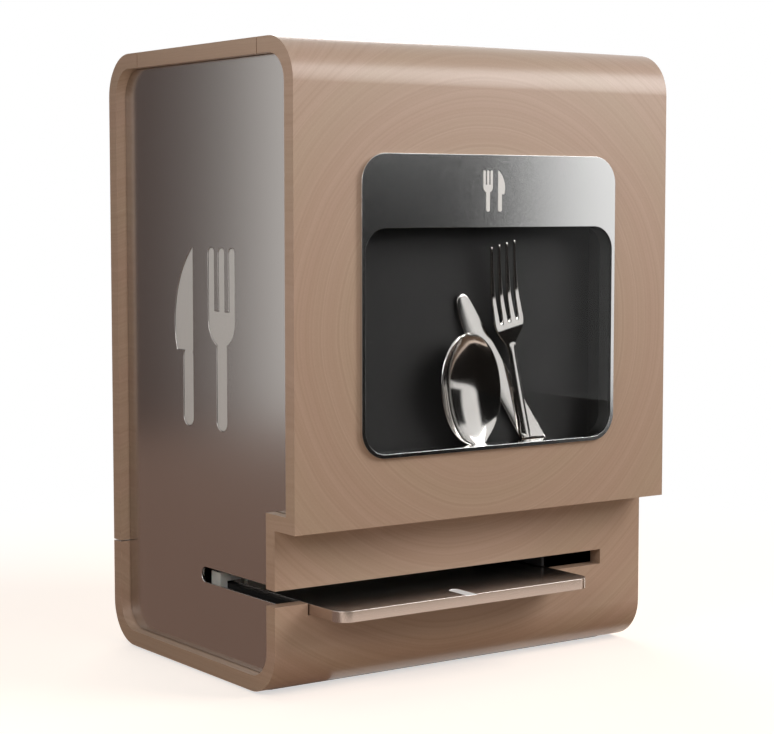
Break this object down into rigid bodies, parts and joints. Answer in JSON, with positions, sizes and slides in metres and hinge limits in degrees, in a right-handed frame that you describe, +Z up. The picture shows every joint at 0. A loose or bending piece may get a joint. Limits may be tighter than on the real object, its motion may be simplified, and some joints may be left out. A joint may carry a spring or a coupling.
{
  "type": "cutlery dispenser",
  "caption": "Countertop cutlery dispenser: bent plywood cabinet with steel sides, a display window, a hinged refill lid and a sprung plate under a low slot.",
  "frame": {"origin": "on the surface that the dispenser stands on, under the middle of the cabinet's width and depth", "axes": "+Z up, +X to the right seen from the front, +Y to the back; the plate slides out along -Y"},
  "size_m": [0.31, 0.2587, 0.4243],
  "materials": {
    "plywood": "clear satin lacquer on bent beech plywood",
    "inner_wood": "planed, unfinished",
    "satin_steel": "fine satin, softly mirroring",
    "polished_steel": "polished stainless steel",
    "zinc_sheet": "zinc plated sheet",
    "black_sheet": "matt black powder coat on sheet steel",
    "zinc_hardware": "zinc plated fasteners",
    "pale_sign": "matt pale grey sheet",
    "clear_pane": "clear acrylic with polished edges",
    "black_plastic": "satin black",
    "white_nylon": "white sliding nylon",
    "black_rubber": "matt rubber",
    "iron_weight": "black painted steel block"
  },
  "bodies": {
    "cabinet": {"front_shell": "plywood", "back_shell": "plywood", "left_side_panel": "satin_steel", "right_side_panel": "satin_steel", "side_sign_backing": "pale_sign", "window_frame": "satin_steel", "header_sign": "pale_sign", "window_pane": "clear_pane", "display_box": "black_plastic", "display_knife": "polished_steel", "display_fork": "polished_steel", "display_spoon": "polished_steel", "cutlery_holder": "black_plastic", "display_box_screws": "zinc_hardware", "frame_nuts": "zinc_hardware", "magazine_front": "black_sheet", "magazine_back": "black_sheet", "magazine_left": "black_sheet", "magazine_right": "black_sheet", "magazine_rivets": "zinc_hardware", "magazine_screws": "zinc_hardware", "rear_standoffs": "zinc_sheet", "standoff_screws": "zinc_hardware", "left_runner": "black_plastic", "right_runner": "black_plastic", "left_bearer": "black_sheet", "right_bearer": "black_sheet", "hold_down_bridge": "white_nylon", "bridge_screws": "zinc_hardware", "rear_buffers": "black_rubber", "spring_anchor": "zinc_sheet", "anchor_screws": "zinc_hardware", "return_springs": "zinc_hardware", "base_weight": "iron_weight", "base_screws": "zinc_hardware", "grip_mat": "black_rubber", "left_battens": "inner_wood", "right_battens": "inner_wood", "back_splice": "inner_wood", "lid_rest_blocks": "inner_wood", "lid_magnets": "zinc_hardware", "hinge_body_leaf": "zinc_sheet", "hinge_pin": "zinc_hardware", "hinge_body_screws": "zinc_hardware"},
    "plate": {"dispensing_plate": "polished_steel", "pusher_bar": "white_nylon", "travel_stops": "black_rubber", "spring_pins": "zinc_hardware"},
    "follower": {"follower_plate": "zinc_sheet", "follower_weight": "iron_weight", "follower_pads": "white_nylon", "follower_knob": "black_plastic", "follower_screw": "zinc_hardware"},
    "lid": {"top_lid": "plywood", "lid_strikers": "zinc_hardware", "hinge_lid_leaf": "zinc_sheet", "hinge_lid_screws": "zinc_hardware"}
  },
  "joints": [
    {"name": "plate_slide", "type": "slide", "parent": "cabinet", "child": "plate", "axis": [0, -1, 0], "range_m": [0, 0.068], "stiffness_N_per_m": 90, "springref_m": -0.03, "deforming": ["return_springs"]},
    {"name": "follower_lift", "type": "slide", "parent": "cabinet", "child": "follower", "axis": [0, 0, 1], "range_m": [0, 0.296]},
    {"name": "lid_hinge", "type": "hinge", "parent": "cabinet", "child": "lid", "pos_m": [0, 0.08, 0.4225], "axis": [-1, 0, 0], "range_deg": [0, 105]}
  ]
}
